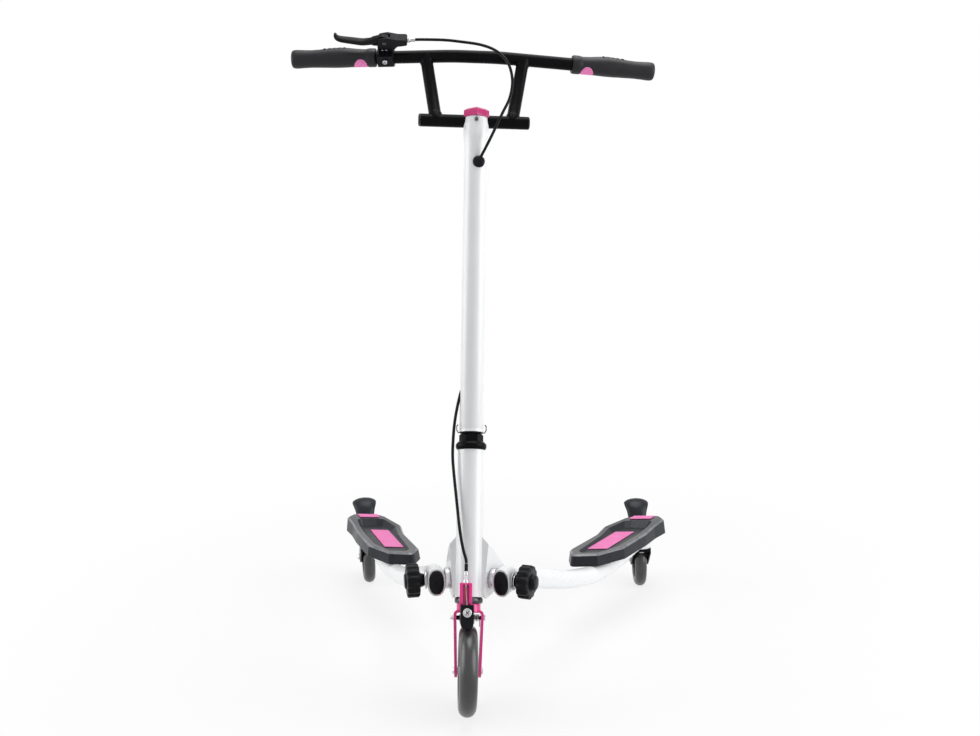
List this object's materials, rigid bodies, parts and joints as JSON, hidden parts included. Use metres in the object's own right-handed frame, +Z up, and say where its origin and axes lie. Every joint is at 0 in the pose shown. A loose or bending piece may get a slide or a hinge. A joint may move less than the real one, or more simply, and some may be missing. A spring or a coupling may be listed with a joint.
{
  "type": "three-wheeled carving scooter",
  "caption": "Upright scooter with a braked front wheel, swept handlebar and a splayed pair of hinged footboards on swivelling rear casters.",
  "frame": {"origin": "on the ground, under the middle of the assembly's box", "axes": "+Z up, -Y the way the scooter rides, +X to the right of someone facing its front wheel"},
  "size_m": [0.6651, 0.7658, 1.101],
  "materials": {
    "white_paint": "gloss white paint",
    "pink_paint": "gloss pink paint",
    "black_paint": "gloss black paint",
    "black_plastic": "moulded black plastic",
    "slate_plastic": "moulded dark grey plastic with a fine grain",
    "grip_rubber": "soft black rubber",
    "pink_rubber": "pink foam rubber",
    "tyre_rubber": "dark grey urethane",
    "steel": "plated steel",
    "dark_steel": "blackened steel"
  },
  "bodies": {
    "frame": {"head_tube_frame": "white_paint", "upper_headset_cup": "black_paint", "lower_headset_cup": "steel", "left_hinge_stud": "steel", "right_hinge_stud": "steel"},
    "steering": {"fork": "pink_paint", "lower_bearing": "steel", "upper_bearing": "steel", "headset_lock_nut": "black_paint", "cable_guide": "black_paint", "stem": "white_paint", "stem_cap": "pink_paint", "handlebar": "black_paint", "left_crossbar_cap": "black_plastic", "right_crossbar_cap": "black_plastic", "left_grip": "grip_rubber", "right_grip": "grip_rubber", "left_grip_inlay": "pink_rubber", "right_grip_inlay": "pink_rubber", "lever_perch": "black_plastic", "perch_clamp_bolt": "steel", "lever_pivot_pin": "steel", "lever_cable_adjuster": "steel", "brake_cable_housing": "black_plastic", "cable_grommet": "black_plastic", "lower_cable_adjuster": "steel", "brake_cable_bracket": "pink_paint", "brake_inner_wire": "steel", "brake_pivot_bolt": "dark_steel", "brake_return_spring": "steel", "front_axle": "steel"},
    "brake_lever": {"brake_lever": "black_paint"},
    "brake_arm": {"brake_arm": "black_plastic", "brake_pad": "tyre_rubber", "cable_anchor_bolt": "steel"},
    "front_wheel": {"front_tyre": "tyre_rubber", "front_wheel_core": "black_plastic", "front_wheel_bearings": "steel"},
    "left_leg": {"left_leg_tube": "white_paint", "left_leg_plug": "black_plastic", "left_footplate": "slate_plastic", "left_foot_pad": "pink_rubber"},
    "left_knob": {"left_clamp_knob": "black_plastic"},
    "left_caster": {"left_caster_fork": "black_paint", "left_caster_kingpin": "steel", "left_mudguard": "black_plastic", "left_caster_axle": "steel"},
    "left_rear_wheel": {"left_rear_tyre": "tyre_rubber", "left_rear_wheel_core": "black_plastic"},
    "right_leg": {"right_leg_tube": "white_paint", "right_leg_plug": "black_plastic", "right_footplate": "slate_plastic", "right_foot_pad": "pink_rubber"},
    "right_knob": {"right_clamp_knob": "black_plastic"},
    "right_caster": {"right_caster_fork": "black_paint", "right_caster_kingpin": "steel", "right_mudguard": "black_plastic", "right_caster_axle": "steel"},
    "right_rear_wheel": {"right_rear_tyre": "tyre_rubber", "right_rear_wheel_core": "black_plastic"}
  },
  "joints": [
    {"name": "steering", "type": "hinge", "parent": "frame", "child": "steering", "pos_m": [0, -0.306, 0.0725], "axis": [0, 0.342, 0.9397], "range_deg": [-49.8, 30.2]},
    {"name": "brake_lever", "type": "hinge", "parent": "steering", "child": "brake_lever", "pos_m": [-0.15757, 0.02177, 1.08489], "axis": [0.0341, -0.6409, -0.7669], "range_deg": [0, 14], "stiffness_Nm_per_rad": 0.6, "springref_deg": -17.19},
    {"name": "brake_arm", "type": "hinge", "parent": "steering", "child": "brake_arm", "pos_m": [0.00068, -0.28132, 0.15184], "axis": [-0.9854, -0.1599, 0.0582], "range_deg": [0, 2.2]},
    {"name": "front_wheel", "type": "hinge", "parent": "steering", "child": "front_wheel", "pos_m": [0, -0.306, 0.0725], "axis": [0.9854, 0.1599, -0.0582], "continuous": true},
    {"name": "left_leg_fold", "type": "hinge", "parent": "frame", "child": "left_leg", "pos_m": [-0.0576, -0.2436, 0.203], "axis": [0.9636, 0.2672, 0], "range_deg": [0, 70]},
    {"name": "left_knob_turn", "type": "hinge", "parent": "frame", "child": "left_knob", "pos_m": [-0.07523, -0.24849, 0.203], "axis": [-0.9636, -0.2672, 0], "continuous": true},
    {"name": "left_caster_swivel", "type": "hinge", "parent": "left_leg", "child": "left_caster", "pos_m": [-0.28, 0.25, 0.1], "axis": [0, 0, 1], "range_deg": [-76, 44]},
    {"name": "left_rear_wheel_roll", "type": "hinge", "parent": "left_caster", "child": "left_rear_wheel", "pos_m": [-0.29516, 0.30287, 0.055], "axis": [0.9613, 0.2756, 0], "continuous": true},
    {"name": "right_leg_fold", "type": "hinge", "parent": "frame", "child": "right_leg", "pos_m": [0.0576, -0.2436, 0.203], "axis": [0.9636, -0.2672, 0], "range_deg": [0, 70]},
    {"name": "right_knob_turn", "type": "hinge", "parent": "frame", "child": "right_knob", "pos_m": [0.07523, -0.24849, 0.203], "axis": [0.9636, -0.2672, 0], "continuous": true},
    {"name": "right_caster_swivel", "type": "hinge", "parent": "right_leg", "child": "right_caster", "pos_m": [0.28, 0.25, 0.1], "axis": [0, 0, 1], "range_deg": [-65, 55]},
    {"name": "right_rear_wheel_roll", "type": "hinge", "parent": "right_caster", "child": "right_rear_wheel", "pos_m": [0.27521, 0.30479, 0.055], "axis": [0.9962, 0.0872, 0], "continuous": true}
  ],
  "couplings": [
    {"joint": "brake_arm", "follows": "brake_lever", "ratio": 0.15}
  ]
}
